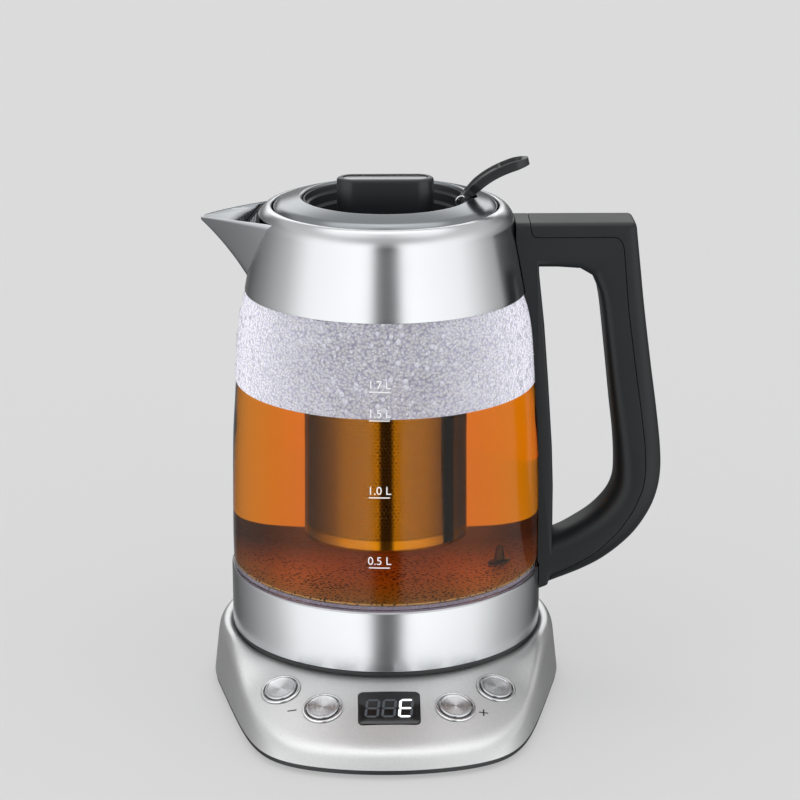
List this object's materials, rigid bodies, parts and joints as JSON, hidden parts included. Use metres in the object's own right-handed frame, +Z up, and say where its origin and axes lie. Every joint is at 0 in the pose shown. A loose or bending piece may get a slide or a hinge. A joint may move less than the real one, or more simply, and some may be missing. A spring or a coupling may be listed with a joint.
{
  "type": "automatic tea maker",
  "caption": "Cordless glass tea kettle with a hanging perforated strainer, a steel collar with spout and a D handle, on a base with a sloped control panel.",
  "frame": {"origin": "on the table, under the middle of the part's box", "axes": "+Z up along the jug's axis, +X towards the handle, -X towards the spout, -Y towards the control panel"},
  "size_m": [0.2164, 0.2062, 0.2555],
  "materials": {
    "glass": "clear, polished",
    "brushed_steel": "brushed round the jug",
    "mesh_steel": "perforated sheet, satin",
    "silver_lacquer": "satin silver lacquer",
    "spun_steel": "spun face",
    "bright_trim": "polished",
    "charcoal_plastic": "satin, moulded",
    "black_plastic": "satin, moulded",
    "grey_plastic": "satin, moulded",
    "gloss_black": "gloss",
    "contact_brass": "satin",
    "dark_rubber": "matt",
    "clear_silicone": "translucent, satin",
    "circuit_board": "solder resist",
    "aluminium": "satin"
  },
  "bodies": {
    "base": {"base_cover": "silver_lacquer", "base_floor": "black_plastic", "foot_back_left": "dark_rubber", "foot_back_right": "dark_rubber", "foot_front_left": "dark_rubber", "foot_front_right": "dark_rubber", "cord_inlet": "dark_rubber", "connector_disc": "grey_plastic", "connector_tower": "charcoal_plastic", "contact_block": "gloss_black", "contact_ring_inner": "bright_trim", "contact_ring_outer": "bright_trim", "contact_pin": "bright_trim", "button_bezel_program": "bright_trim", "button_bezel_minus": "bright_trim", "button_bezel_plus": "bright_trim", "button_bezel_power": "bright_trim", "switch_program": "black_plastic", "switch_minus": "black_plastic", "switch_plus": "black_plastic", "switch_power": "black_plastic", "button_board_left": "circuit_board", "button_board_right": "circuit_board", "display_window": "gloss_black", "display_module": "black_plastic", "display_board": "circuit_board", "power_board": "circuit_board"},
    "program_button": {"button_program": "spun_steel"},
    "minus_button": {"button_minus": "spun_steel"},
    "plus_button": {"button_plus": "spun_steel"},
    "power_button": {"button_power": "spun_steel"},
    "coupler": {"coupler_socket": "black_plastic", "coupler_ring_inner": "contact_brass", "coupler_ring_outer": "contact_brass", "coupler_pin": "contact_brass"},
    "jug": {"glass_body": "glass", "collar": "brushed_steel", "spout": "brushed_steel", "spout_filter": "charcoal_plastic", "neck_ring": "black_plastic", "lower_band": "brushed_steel", "jug_underside": "black_plastic", "glass_seal": "clear_silicone", "heater_plate": "brushed_steel", "heating_element": "aluminium", "temperature_sensor": "brushed_steel", "handle_frame": "charcoal_plastic", "handle_cover": "charcoal_plastic"},
    "lid": {"lid_ring": "brushed_steel", "lid_well": "black_plastic", "lid_seal": "clear_silicone", "lever_pin": "bright_trim"},
    "lever": {"lid_lever": "charcoal_plastic"},
    "strainer": {"strainer_rim": "black_plastic", "strainer_basket": "mesh_steel"},
    "cap": {"strainer_cap": "charcoal_plastic", "grip_inlay": "bright_trim"}
  },
  "joints": [
    {"name": "jug_lift", "type": "slide", "parent": "base", "child": "coupler", "axis": [0, 0, 1], "range_m": [0, 0.064]},
    {"name": "jug_turn", "type": "hinge", "parent": "coupler", "child": "jug", "pos_m": [-0.02288, 0.01975, 0.0278], "axis": [0, 0, 1], "continuous": true},
    {"name": "lid_lift", "type": "slide", "parent": "jug", "child": "lid", "axis": [0, 0, 1], "range_m": [0, 0.17]},
    {"name": "strainer_lift", "type": "slide", "parent": "lid", "child": "strainer", "axis": [0, 0, 1], "range_m": [0, 0.17]},
    {"name": "strainer_cap_lift", "type": "slide", "parent": "strainer", "child": "cap", "axis": [0, 0, 1], "range_m": [0, 0.04]},
    {"name": "lever_press", "type": "hinge", "parent": "lid", "child": "lever", "pos_m": [0.01392, 0.01975, 0.2362], "axis": [0, 1, 0], "range_deg": [0, 12], "stiffness_Nm_per_rad": 0.3, "springref_deg": -5.73},
    {"name": "program_press", "type": "slide", "parent": "base", "child": "program_button", "axis": [0.2025, 0.2957, -0.9336], "range_m": [0, 0.0012], "stiffness_N_per_m": 800, "springref_m": -0.001},
    {"name": "minus_press", "type": "slide", "parent": "base", "child": "minus_button", "axis": [0.1155, 0.3392, -0.9336], "range_m": [0, 0.0012], "stiffness_N_per_m": 800, "springref_m": -0.001},
    {"name": "plus_press", "type": "slide", "parent": "base", "child": "plus_button", "axis": [-0.1155, 0.3392, -0.9336], "range_m": [0, 0.0012], "stiffness_N_per_m": 800, "springref_m": -0.001},
    {"name": "power_press", "type": "slide", "parent": "base", "child": "power_button", "axis": [-0.2025, 0.2957, -0.9336], "range_m": [0, 0.0012], "stiffness_N_per_m": 800, "springref_m": -0.001}
  ]
}
